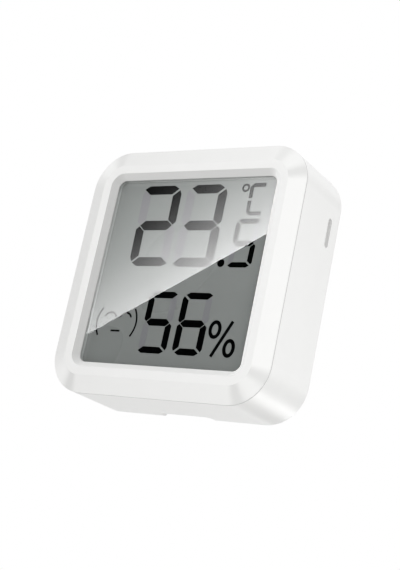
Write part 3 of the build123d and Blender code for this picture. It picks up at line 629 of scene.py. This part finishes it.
for figure_name, (size, value) in figures.items():
    lit, unlit = bmesh.new(), bmesh.new()
    for segment_name, rim in segments(*size).items():
        plate_between(lit if segment_name in lit_segments[value] else unlit, rim)
    keep_piece(lit, "figure_" + figure_name, dark_crystal)
    keep_piece(unlit, "figure_" + figure_name + "_resting", resting_crystal)

# The point between the figures is a plain disc, and the Celsius sign is a ring and a C in two
# bent strokes. A ring's places stop one step before they meet.
small_ring, large_ring = (0, 345, 23), (0, 352.5, 47)
dot_middle, dot_radius = (11.03, 2.36), 0.97
degree_middle, degree_radius = (13.7, 20.87), 0.8
degree_stroke, symbol_stroke = 0.5, 1.0
symbols = bmesh.new()
plate_between(symbols, arc(dot_middle, dot_radius, dot_radius, *small_ring))
degree = arc(degree_middle, degree_radius, degree_radius, *small_ring)
stroke(symbols, degree, degree_stroke, closed=True)
stroke(symbols, [(19.0, 21.5), (15.95, 21.5), (15.4, 20.95), (15.4, 18.25)], symbol_stroke)
stroke(symbols, [(15.4, 17.65), (15.4, 15.02), (15.95, 14.47), (19.0, 14.47)], symbol_stroke)
keep_piece(symbols, "figure_point_and_celsius", dark_crystal)

# The percent sign is two upright rings and a slash
ring_stroke, slash_stroke = 0.88, 0.8
percent = bmesh.new()
for middle, across, up in (((13.16, -13.47), 1.25, 1.75), ((17.7, -17.65), 1.17, 1.74)):
    stroke(percent, arc(middle, across, up, *large_ring), ring_stroke, closed=True)
stroke(percent, [(17.5, -11.4), (13.35, -19.8)], slash_stroke)
keep_piece(percent, "figure_percent", dark_crystal)

# The comfort sign shows whether the air feels pleasant: brackets round two eyes and a mouth
comfort = bmesh.new()
comfort_stroke = 0.46
brackets = [
    ((-19.58, -9.3), (-20.67, -12.7), (-19.58, -16.1)),
    ((-10.1, -9.3), (-9.03, -12.7), (-10.1, -16.1)),
]
for first, top, last in brackets:
    stroke(comfort, bow(first, top, last), comfort_stroke)
for eye_middle in (-16.85, -12.46):
    stroke(comfort, arc((eye_middle, -11.64), 1.6, 1.3, 172, 8), comfort_stroke)
stroke(comfort, [(-16.0, -14.84), (-13.35, -14.84)], comfort_stroke)
keep_piece(comfort, "figure_comfort", dark_crystal)

# A pale masking border lies round the film. It shows in the shadow under the rim, at the left
# and the top. Its pale colour is painted light against that shadow, and it shares the slanted
# light of the film.
pale_border_finish, tree = new_finish("pale_border_painted_light")
place = add(tree, "TexCoord").outputs["Object"]
border_grain = add(tree, "TexNoise", {"Vector": place, "Scale": 1 / crystal_grain})
masked = add(
    tree,
    "Mix",
    {0: border_grain.outputs["Fac"], 6: linear("#bcc0be"), 7: linear("#c0c4c2")},
    data_type="RGBA",
)
mask_colour = slanted_light(tree, place, masked.outputs[2], linear("#dadddb"))
border_bsdf = add(tree, "BsdfPrincipled", {"Base Color": mask_colour, "Roughness": 0.5, "IOR": 1.49})
add(tree, "OutputMaterial", {"Surface": border_bsdf.outputs["BSDF"]})
border_half, border_width, border_corner = (23.15, 23.8), 1.4, 2.2
border_line = []
for side_x, side_z, start in ((1, 1, 0), (-1, 1, 90), (-1, -1, 180), (1, -1, 270)):
    turning = (
        side_x * (border_half[0] - border_corner),
        side_z * (border_half[1] - border_corner),
    )
    border_line += arc(turning, border_corner, border_corner, start, start + 90, 8)
border = bmesh.new()
stroke(border, border_line, border_width, closed=True)
keep_piece(border, "display_border", pale_border_finish)

# The connector strips: silicone rubber with layers of carbon-filled rubber, pinched between
# the glass and the board. The display frame that guides them is moulded in black polystyrene.

# Striped rubber: black conducting layers in a pink insulating body. Real ones lie 0.2 mm apart,
# which is too fine to show, so they are drawn 1.26 mm apart. The wave node turns by 20 radians
# for each unit of its scale.
stripe_pitch, wave_turn = 1.2566 * mm, 20.0
striped_rubber, tree = new_finish("striped_silicone_rubber")
place = add(tree, "TexCoord").outputs["Object"]
stripes = add(
    tree,
    "TexWave",
    {"Vector": place, "Scale": math.tau / (wave_turn * stripe_pitch), "Distortion": 0.0},
    bands_direction="X",
)
layers = add(
    tree,
    "Mix",
    {0: stripes.outputs["Fac"], 6: linear("#2a2426"), 7: linear("#c58f92")},
    data_type="RGBA",
)
rubber = add(
    tree,
    "BsdfPrincipled",
    {"Base Color": layers.outputs[2], "Roughness": 0.7, "IOR": 1.43},
)
add(tree, "OutputMaterial", {"Surface": rubber.outputs["BSDF"]})
dress(striped_rubber, "connector_strip_lower", "connector_strip_upper")

# Black polystyrene: even and dull, with faint flow marks of 3 mm.
flow_mark = 3.03 * mm
black_styrene, tree = new_finish("moulded_black_polystyrene")
place = add(tree, "TexCoord").outputs["Object"]
flow = add(tree, "TexNoise", {"Vector": place, "Scale": 1 / flow_mark, "Detail": 3.0})
dull = add(tree, "MapRange", {"Value": flow.outputs["Fac"], "To Min": 0.45, "To Max": 0.6})
styrene = add(
    tree,
    "BsdfPrincipled",
    {"Base Color": linear("#1e1f21"), "Roughness": dull.outputs["Result"], "IOR": 1.59},
)
add(tree, "OutputMaterial", {"Surface": styrene.outputs["BSDF"]})
dress(black_styrene, "display_frame")

# The boards: glass-fibre laminate with copper tracks under solder mask, routed to shape. The
# main board is screwed to the bezel, and the small sensor board stands on it behind the vent.

# Solder mask: glossy green or blue lacquer, lighter and raised a hair where a track runs under
# it. The tracks are nested diamonds in cells of 3.6 mm, drawn coarser than real ones to show.
track_cell, track_turns, track_edge = 3.6 * mm, 9.0, (0.1, 0.3)
for board_finish, ground_hex, track_hex, board_names in (
    ("green_solder_mask", "#0f4d2c", "#1c6b3d", ("main_board", "sensor_board")),
    ("blue_solder_mask", "#123a6b", "#1f5590", ("radio_module",)),
):
    solder_mask, tree = new_finish(board_finish)
    place = add(tree, "TexCoord").outputs["Object"]
    cells = add(
        tree, "TexVoronoi", {"Vector": place, "Scale": 1 / track_cell}, distance="MANHATTAN"
    ).outputs["Distance"]
    turns = add(tree, "Math", {0: cells, 1: track_turns}, operation="MULTIPLY")
    rows = add(tree, "Math", {0: turns.outputs[0]}, operation="SINE")
    edges = add(
        tree,
        "MapRange",
        {"Value": rows.outputs[0], "From Min": track_edge[0], "From Max": track_edge[1]},
    )
    masked = add(
        tree,
        "Mix",
        {0: edges.outputs["Result"], 6: linear(ground_hex), 7: linear(track_hex)},
        data_type="RGBA",
    )
    raised = add(tree, "Bump", {"Height": edges.outputs["Result"], "Distance": 0.02 * mm})
    lacquer = add(
        tree,
        "BsdfPrincipled",
        {
            "Base Color": masked.outputs[2],
            "Roughness": 0.28,
            "IOR": 1.52,
            "Normal": raised.outputs["Normal"],
        },
    )
    add(tree, "OutputMaterial", {"Surface": lacquer.outputs["BSDF"]})
    dress(solder_mask, *board_names)

# The parts on the boards: a controller, a radio under its can, a crystal, capacitors,
# resistors, a push switch and the sensor. They are placed by machine and soldered in one pass.

# Moulding epoxy: black and dull, with the fine pitting of 0.1 mm that its filler leaves.
filler_pit = 0.1 * mm
black_epoxy, tree = new_finish("moulded_black_epoxy")
place = add(tree, "TexCoord").outputs["Object"]
filler = add(tree, "TexNoise", {"Vector": place, "Scale": 1 / filler_pit, "Detail": 2.0})
pits = add(tree, "Bump", {"Height": filler.outputs["Fac"], "Distance": 0.006 * mm})
epoxy = add(
    tree,
    "BsdfPrincipled",
    {
        "Base Color": linear("#191a1c"),
        "Roughness": 0.62,
        "IOR": 1.55,
        "Normal": pits.outputs["Normal"],
    },
)
add(tree, "OutputMaterial", {"Surface": epoxy.outputs["BSDF"]})
dress(black_epoxy, "controller_chip", "sensor_chip", "chip_resistors", "switch_body")

# Barium titanate ceramic: fawn, with specks of 0.2 mm and the sheen of a fired body.
ceramic_speck = 0.2 * mm
fired_ceramic, tree = new_finish("fired_capacitor_ceramic")
place = add(tree, "TexCoord").outputs["Object"]
speckle = add(tree, "TexNoise", {"Vector": place, "Scale": 1 / ceramic_speck})
fawn = add(
    tree,
    "Mix",
    {0: speckle.outputs["Fac"], 6: linear("#9a7a55"), 7: linear("#b4946c")},
    data_type="RGBA",
)
ceramic = add(
    tree, "BsdfPrincipled", {"Base Color": fawn.outputs[2], "Roughness": 0.45, "IOR": 1.6}
)
add(tree, "OutputMaterial", {"Surface": ceramic.outputs["BSDF"]})
dress(fired_ceramic, "chip_capacitors")

# Plated steel and drawn aluminium: soft grey metals with drawing lines 0.1 mm apart, which
# stretch each highlight along the sheet. Nickel is warmer than tin. Wear leaves each of them a
# little smoother or rougher than its own roughness.
drawing_pitch, drawing_stretch = 0.1 * mm, (0.06, 1.0, 1.0)
wear_smoother, wear_rougher = 0.05, 0.08
for metal_name, metal_hex, roughness, metal_nodes in (
    ("tinned_steel_can", "#b9bbb9", 0.34, ("radio_shield", "clock_crystal")),
    ("drawn_aluminium_can", "#c6c8ca", 0.3, ("reservoir_capacitor",)),
    ("zinc_plated_screw_steel", "#a9adb2", 0.3, ("board_screws",)),
    (
        "nickel_plated_spring_steel",
        "#c2bdb2",
        0.24,
        (
            "contact_bridge",
            "contact_positive",
            "contact_negative",
            "spring_lower",
            "spring_upper",
        ),
    ),
):
    metal, tree = new_finish(metal_name)
    place = add(tree, "TexCoord").outputs["Object"]
    stretched = add(tree, "Mapping", {"Vector": place, "Scale": drawing_stretch})
    drawn = add(
        tree,
        "TexNoise",
        {"Vector": stretched.outputs["Vector"], "Scale": 1 / drawing_pitch, "Detail": 2.0},
    )
    worn = add(
        tree,
        "MapRange",
        {
            "Value": drawn.outputs["Fac"],
            "To Min": roughness - wear_smoother,
            "To Max": roughness + wear_rougher,
        },
    )
    lines = add(tree, "Bump", {"Height": drawn.outputs["Fac"], "Distance": 0.002 * mm})
    surface = add(
        tree,
        "BsdfPrincipled",
        {
            "Base Color": linear(metal_hex),
            "Metallic": 1.0,
            "Roughness": worn.outputs["Result"],
            "Normal": lines.outputs["Normal"],
        },
    )
    add(tree, "OutputMaterial", {"Surface": surface.outputs["BSDF"]})
    dress(metal, *metal_nodes)

# Acetal: the switch's plunger, off-white, with a waxy sheen in patches of 1.4 mm.
wax_patch = 1.43 * mm
waxy_acetal, tree = new_finish("moulded_acetal")
place = add(tree, "TexCoord").outputs["Object"]
wax = add(tree, "TexNoise", {"Vector": place, "Scale": 1 / wax_patch})
sheen = add(tree, "MapRange", {"Value": wax.outputs["Fac"], "To Min": 0.28, "To Max": 0.38})
acetal = add(
    tree,
    "BsdfPrincipled",
    {"Base Color": linear("#e6e2d6"), "Roughness": sheen.outputs["Result"], "IOR": 1.48},
)
add(tree, "OutputMaterial", {"Surface": acetal.outputs["BSDF"]})
dress(waxy_acetal, "switch_plunger")

# The cells: two AAA cells in plain printed shrink sleeves. The sleeve covers the steel can but
# for its two ends, and a pale band marks the end with the nub.
bare_reach, band_reach, sleeve_reach = 1.1 * mm, 9.5 * mm, 44.2 * mm
sleeve_wrinkle = 3.85 * mm

# A plus is printed on the band and a minus at the other end, both on the side of the door. Each
# arm of a mark is given by its half sizes.
plus_from_end, minus_from_end = 5.8 * mm, 39.5 * mm
arm_length, arm_width, arm_depth = 1.3 * mm, 0.32 * mm, 2 * mm
mark_arms = ((arm_length, arm_depth, arm_width), (arm_width, arm_depth, arm_length))
for cell_name, nub_way in (("cell_lower", -1), ("cell_upper", 1)):
    low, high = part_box(cell_name)
    end_x = high.x if nub_way > 0 else low.x
    # Shrink sleeve: glossy slate blue film with a pale band, on bright nickel-plated steel
    sleeve, tree = new_finish("printed_shrink_sleeve_" + cell_name)
    place = add(tree, "TexCoord").outputs["Object"]
    along = add(tree, "SeparateXYZ", {"Vector": place}).outputs["X"]
    inside = add(tree, "Math", {0: along, 1: end_x}, operation="SUBTRACT")
    reach = add(tree, "Math", {0: inside.outputs[0]}, operation="ABSOLUTE")
    band = add(tree, "Math", {0: reach.outputs[0], 1: band_reach}, operation="LESS_THAN")
    bare = add(tree, "Math", {0: reach.outputs[0], 1: bare_reach}, operation="LESS_THAN")
    tail = add(tree, "Math", {0: reach.outputs[0], 1: sleeve_reach}, operation="GREATER_THAN")
    metal_share = add(tree, "Math", {0: bare.outputs[0], 1: tail.outputs[0]}, operation="MAXIMUM")
    printed = add(
        tree,
        "Mix",
        {0: band.outputs[0], 6: linear("#2c4a66"), 7: linear("#c9cdd1")},
        data_type="RGBA",
    )
    marks = None
    for mark_end, arms in ((plus_from_end, mark_arms), (minus_from_end, mark_arms[:1])):
        mark_place = (end_x - nub_way * mark_end, high.y, (low.z + high.z) / 2)
        to_mark = add(tree, "VectorMath", {0: place, 1: mark_place}, operation="SUBTRACT")
        mark_gap = add(tree, "VectorMath", {0: to_mark.outputs["Vector"]}, operation="ABSOLUTE")
        for arm in arms:
            beyond_arm = add(
                tree, "VectorMath", {0: mark_gap.outputs["Vector"], 1: arm}, operation="SUBTRACT"
            )
            axes = add(tree, "SeparateXYZ", {"Vector": beyond_arm.outputs["Vector"]}).outputs
            worst = add(tree, "Math", {0: axes["X"], 1: axes["Y"]}, operation="MAXIMUM")
            worst = add(tree, "Math", {0: worst.outputs[0], 1: axes["Z"]}, operation="MAXIMUM")
            inked = add(tree, "Math", {0: worst.outputs[0], 1: 0.0}, operation="LESS_THAN")
            inked = inked.outputs[0]
            if marks is not None:
                inked = add(tree, "Math", {0: marks, 1: inked}, operation="MAXIMUM").outputs[0]
            marks = inked
    mark_ink = add(
        tree,
        "Mix",
        {0: band.outputs[0], 6: linear("#dfe3e6"), 7: linear("#1d3347")},
        data_type="RGBA",
    )
    lettered = add(
        tree,
        "Mix",
        {0: marks, 6: printed.outputs[2], 7: mark_ink.outputs[2]},
        data_type="RGBA",
    )
    colour = add(
        tree,
        "Mix",
        {0: metal_share.outputs[0], 6: lettered.outputs[2], 7: linear("#c2bdb2")},
        data_type="RGBA",
    )
    wrinkle = add(tree, "TexNoise", {"Vector": place, "Scale": 1 / sleeve_wrinkle, "Detail": 2.0})
    shrunk = add(tree, "Bump", {"Height": wrinkle.outputs["Fac"], "Distance": 0.02 * mm})
    jacket = add(
        tree,
        "BsdfPrincipled",
        {
            "Base Color": colour.outputs[2],
            "Metallic": metal_share.outputs[0],
            "Roughness": 0.26,
            "Normal": shrunk.outputs["Normal"],
        },
    )
    add(tree, "OutputMaterial", {"Surface": jacket.outputs["BSDF"]})
    dress(sleeve, cell_name)

# The studio: the camera looks up at the sensor from low on its right, as the photograph does.
# It is a long lens, turned a little about its axis.
camera_place = Vector((0.16396, -0.22992, -0.04789))
camera_azimuth, camera_elevation, camera_roll = 35.258, -15.484, 11.947
around, above, roll = map(math.radians, (camera_azimuth, camera_elevation, camera_roll))
ahead = Vector(
    (
        -math.sin(around) * math.cos(above),
        math.cos(around) * math.cos(above),
        -math.sin(above),
    )
)
level = ahead.cross(Vector((0, 0, 1))).normalized()
upright = level.cross(ahead)
right = level * math.cos(roll) + upright * math.sin(roll)
up = upright * math.cos(roll) - level * math.sin(roll)
lens = bpy.data.cameras.new("camera")
lens.lens = 78.11
lens.sensor_width = 36.0
lens.clip_start, lens.clip_end = 0.01, 20.0
camera = bpy.data.objects.new("camera", lens)
bpy.context.scene.collection.objects.link(camera)
camera.matrix_world = Matrix.Translation(camera_place) @ Matrix(
    (right, up, -ahead)
).transposed().to_4x4()
bpy.context.scene.camera = camera

# A pale floor stands well below the sensor, because the camera looks up from under its base.
# Its colour is the white of the paper that such pictures are taken on.
floor_drop, floor_half = 0.42, 1.0
paper_fibre = 1.11 * mm
paper, tree = new_finish("matt_white_paper")
place = add(tree, "TexCoord").outputs["Object"]
fibre = add(tree, "TexNoise", {"Vector": place, "Scale": 1 / paper_fibre})
pulp = add(
    tree,
    "Mix",
    {0: fibre.outputs["Fac"], 6: linear("#f3f3f2"), 7: linear("#f6f6f5")},
    data_type="RGBA",
)
sheet = add(tree, "BsdfDiffuse", {"Color": pulp.outputs[2]})
add(tree, "OutputMaterial", {"Surface": sheet.outputs["BSDF"]})
ground = bmesh.new()
corners = [(-1, -1), (1, -1), (1, 1), (-1, 1)]
ground.faces.new(
    ground.verts.new((x * floor_half, y * floor_half, -floor_drop)) for x, y in corners
)
floor_mesh = bpy.data.meshes.new("floor")
ground.to_mesh(floor_mesh)
ground.free()
floor_mesh.materials.append(paper)
floor = bpy.data.objects.new("floor", floor_mesh)
bpy.context.scene.collection.objects.link(floor)
floor.visible_camera = False

# The room is white for the camera and in mirrors, and lights the object a little less than that
room_light = 0.727
world = bpy.data.worlds.new("white_room")
bpy.context.scene.world = world
world.use_nodes = True
tree = world.node_tree
tree.nodes.clear()
path = add(tree, "LightPath")
seen = add(
    tree,
    "Math",
    {0: path.outputs["Is Camera Ray"], 1: path.outputs["Is Transmission Ray"]},
    operation="MAXIMUM",
)
shown = add(
    tree, "Math", {0: seen.outputs[0], 1: path.outputs["Is Glossy Ray"]}, operation="MAXIMUM"
)
strength = add(
    tree, "MapRange", {"Value": shown.outputs[0], "To Min": room_light, "To Max": 1.0}
)
paint = add(
    tree,
    "Background",
    {"Color": linear("#ffffff"), "Strength": strength.outputs["Result"]},
)
add(tree, "OutputWorld", {"Surface": paint.outputs["Background"]})


def softbox(name, place, aim, side, power):
    """A square soft lamp at a place, turned towards a point. It doesn't show in glossy surfaces,
    where it would bleach the faces that mirror it."""
    lamp = bpy.data.lights.new(name, "AREA")
    lamp.shape = "SQUARE"
    lamp.size = side
    lamp.energy = power
    stand = bpy.data.objects.new(name, lamp)
    bpy.context.scene.collection.objects.link(stand)
    stand.location = place
    stand.rotation_euler = (Vector(aim) - Vector(place)).to_track_quat("-Z", "Y").to_euler()
    stand.visible_glossy = False


lamp_aim = (0, 0, 0.03)
softbox("key_lamp", (0.40, -0.36, 0.02), lamp_aim, 0.3, 1.0)
softbox("top_lamp", (-0.1, -0.1, 0.9), lamp_aim, 0.6, 0.7)


def hang_card(name, places, faces, finish, location=(0, 0, 0)):
    """A card of the studio, which shows in glossy surfaces and nowhere else."""
    mesh = bpy.data.meshes.new(name)
    mesh.from_pydata(places, [], faces)
    mesh.materials.append(finish)
    card = bpy.data.objects.new(name, mesh)
    bpy.context.scene.collection.objects.link(card)
    card.location = location
    card.visible_camera = False
    card.visible_diffuse = False
    card.visible_transmission = False
    card.visible_volume_scatter = False
    card.visible_shadow = False


# The reflection card hangs up and to the left, where the window mirrors it towards the camera.
# It is black but for a glow that starts at a sharp edge and dies away upwards, which gives the
# window its diagonal glare. The glow's slant is that of the light on the film.
card_depth = -0.45
glare_edge = [(-22.59, -16.68), (22.5, 9.24)]
glare_strength = 8.8
glare_fall, glare_extra_fall = 3.2, 1.1
card_reach = (23.4, 24.0)
window_front = window_low.y
image = Vector((camera_place.x, 2 * window_front - camera_place.y, camera_place.z))


def on_card(spot):
    """Where the camera sees the card in a place on the window, in millimetres from its middle."""
    mirrored_at = Vector(on_display(spot, window_front))
    stretch = (card_depth - image.y) / (mirrored_at.y - image.y)
    return image + (mirrored_at - image) * stretch


card_middle = on_card((0, 0))
card_stretch = mm * (card_depth - image.y) / (window_front - image.y)
edge_start, edge_end = (on_card(spot) - card_middle for spot in glare_edge)
edge_way = (edge_end - edge_start).normalized()
edge_rise = Vector((-edge_way.z, 0, edge_way.x))
edge_level = edge_start.dot(edge_rise)
glow, tree = new_finish("black_card_with_a_glow")
place = add(tree, "TexCoord").outputs["Object"]
height = add(tree, "VectorMath", {0: place, 1: tuple(edge_rise)}, operation="DOT_PRODUCT")
fade_way = [share / card_stretch for share in slant_shares]
fade = add(tree, "VectorMath", {0: place, 1: fade_way}, operation="DOT_PRODUCT")
bright = add(tree, "Math", {0: fade.outputs["Value"], 1: 1.0}, operation="ADD")
capped = add(tree, "Math", {0: bright.outputs[0], 1: 1.0}, operation="MINIMUM")
broad = add(tree, "Math", {0: bright.outputs[0], 1: glare_fall}, operation="POWER")
steep = add(tree, "Math", {0: capped.outputs[0], 1: glare_extra_fall}, operation="POWER")
fall = add(tree, "Math", {0: broad.outputs[0], 1: steep.outputs[0]}, operation="MULTIPLY")
above_edge = add(
    tree, "Math", {0: height.outputs["Value"], 1: edge_level}, operation="GREATER_THAN"
)
lit_part = add(tree, "Math", {0: fall.outputs[0], 1: above_edge.outputs[0]}, operation="MULTIPLY")
power = add(tree, "Math", {0: lit_part.outputs[0], 1: glare_strength}, operation="MULTIPLY")
shine = add(tree, "Emission", {"Color": linear("#ffffff"), "Strength": power.outputs[0]})
add(tree, "OutputMaterial", {"Surface": shine.outputs["Emission"]})
card_half_width, card_half_height = (reach * card_stretch for reach in card_reach)
card_rim = [(x * card_half_width, 0, z * card_half_height) for x, z in corners]
hang_card("reflection_card", card_rim, [(0, 1, 2, 3)], glow, card_middle)


def card_finish(name, strength):
    """A plain card that glows with that strength, or is black."""
    finish, tree = new_finish(name)
    light = add(tree, "Emission", {"Color": linear("#ffffff"), "Strength": strength})
    add(tree, "OutputMaterial", {"Surface": light.outputs["Emission"]})
    return finish


flag_black = card_finish("black_flag", 0.0)
strip_white = card_finish("glowing_strip", 4.6)
strip_soft = card_finish("soft_strip", 2.0)

# Five cards behind the sensor, set in a ring round its front to back line, give its rounded
# right corners bright bands between duller ones. Each is given by two angles in degrees.
ring_depth, ring_inner, ring_outer = 0.68, 0.24, 0.62
for ring_name, start, end, ring_finish in (
    ("flag_above", 42, 66, flag_black),
    ("flag_beside", -2, -40, flag_black),
    ("strip_below", -52, -90, strip_white),
    ("flag_below", -98, -131, flag_black),
    ("strip_beneath", -133, -144, strip_soft),
):
    inner, outer = (arc((0, 0), size, size, start, end, 6) for size in (ring_inner, ring_outer))
    ring_places = [(x, ring_depth, z) for x, z in inner + outer[::-1]]
    hang_card(ring_name, ring_places, [tuple(range(len(ring_places)))], ring_finish)

# Five cards stand beside the sensor and shade and light the left side of its border. Each is
# given by how far back and how high it starts and ends.
left_x = -0.45
for left_name, (near, far), (low, high), left_finish in (
    ("flag_left_high", (-0.72, -0.12), (0.44, 0.62), flag_black),
    ("flag_left_rim", (-0.72, -0.34), (0.0, 0.44), flag_black),
    ("strip_left_high", (-0.15, 0.06), (0.27, 0.40), strip_soft),
    ("flag_left_middle", (-0.16, -0.05), (0.08, 0.22), flag_black),
    ("strip_left_low", (-0.24, -0.02), (-0.10, 0.02), strip_soft),
):
    sides = ((near, low), (far, low), (far, high), (near, high))
    hang_card(left_name, [(left_x, y, z) for y, z in sides], [(0, 1, 2, 3)], left_finish)

# A black flag in two parts stands low in front and shades the chamfer's lower side and its
# lower right corner
low_y, low_across, low_up = -0.55, (-0.60, -0.37, -0.12, 0.12), (-0.41, -0.04)
low_places = [(x, low_y, z) for x in low_across for z in low_up]
hang_card("flag_low", low_places, [(0, 2, 3, 1), (4, 6, 7, 5)], flag_black)

bpy.context.scene.view_settings.view_transform = "Standard"

bpy.context.view_layer.update()
